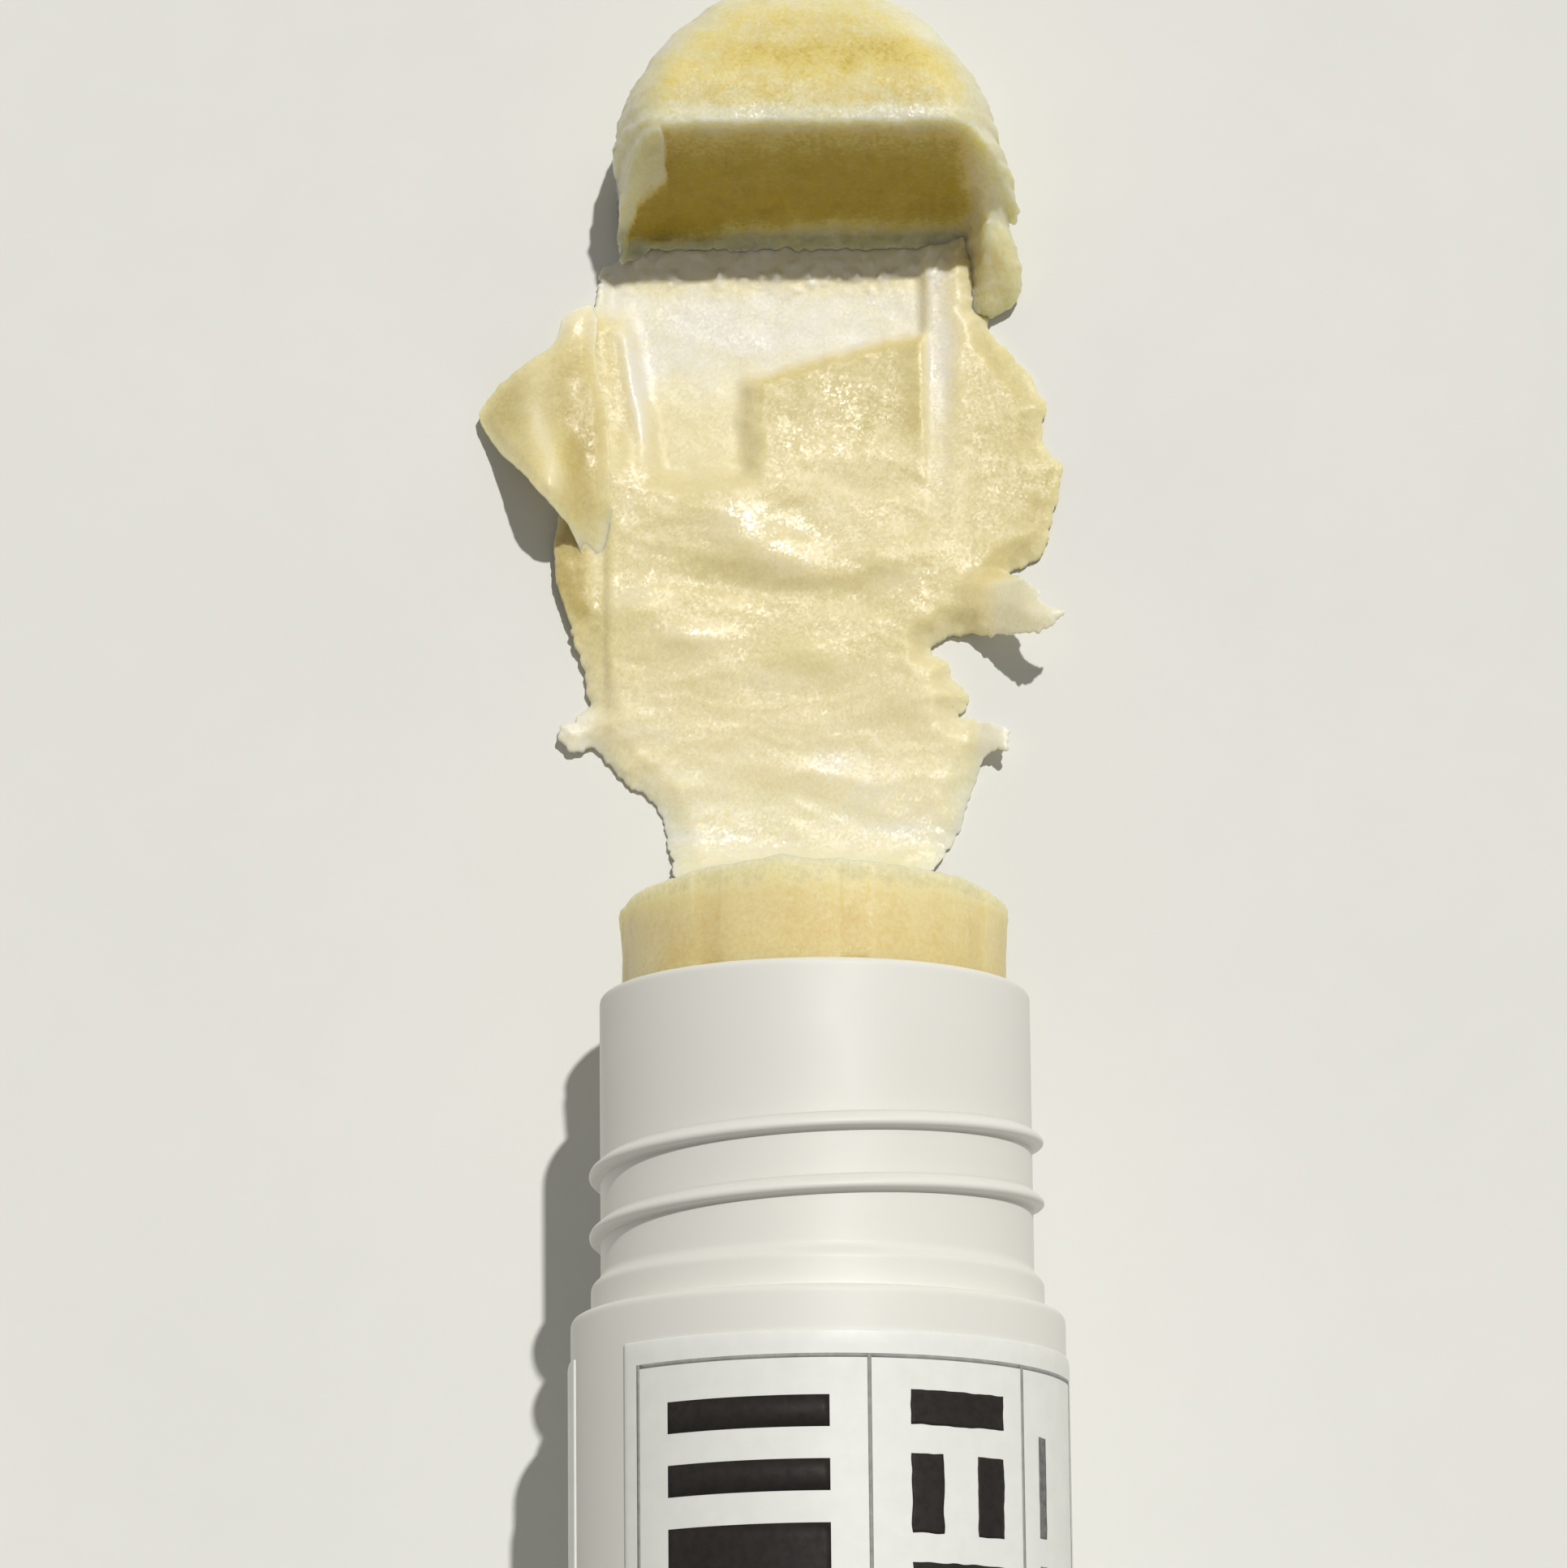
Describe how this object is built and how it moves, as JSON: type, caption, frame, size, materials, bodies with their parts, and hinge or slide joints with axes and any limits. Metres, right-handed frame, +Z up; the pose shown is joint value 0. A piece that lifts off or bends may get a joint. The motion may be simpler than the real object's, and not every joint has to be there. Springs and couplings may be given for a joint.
{
  "type": "lip balm",
  "caption": "Twist-up lip balm tube lying on its side, wound out, its soft stick broken off and crushed flat in front of the threaded mouth.",
  "frame": {"origin": "centre of the dial's base face, on the tube's axis", "axes": "+Y along the tube towards its mouth, +Z up from the surface it lies on, +X to the right seen from the base"},
  "size_m": [0.0201, 0.0991, 0.0162],
  "materials": {
    "white_plastic": "satin moulded polypropylene",
    "label_paper": "smooth coated paper",
    "label_ink": "matt printing ink",
    "dial_plastic": "satin moulded polypropylene",
    "balm": "soft waxy balm, pale yellow and translucent"
  },
  "bodies": {
    "root": {"barrel": "white_plastic", "label": "label_paper", "label_print": "label_ink", "balm_smear": "balm", "balm_nose": "balm"},
    "dial": {"dial_screw": "dial_plastic"},
    "carriage": {"elevator": "dial_plastic", "balm_stub": "balm"}
  },
  "joints": [
    {"name": "dial_turn", "type": "hinge", "parent": "root", "child": "dial", "pos_m": [0, 0, 0], "axis": [0, 1, 0], "range_deg": [0, 3240]},
    {"name": "carriage_slide", "type": "slide", "parent": "root", "child": "carriage", "axis": [0, 1, 0], "range_m": [-0.036, 0]}
  ],
  "couplings": [
    {"joint": "dial_turn", "follows": "carriage_slide", "rad_per_m": -1570.8}
  ]
}
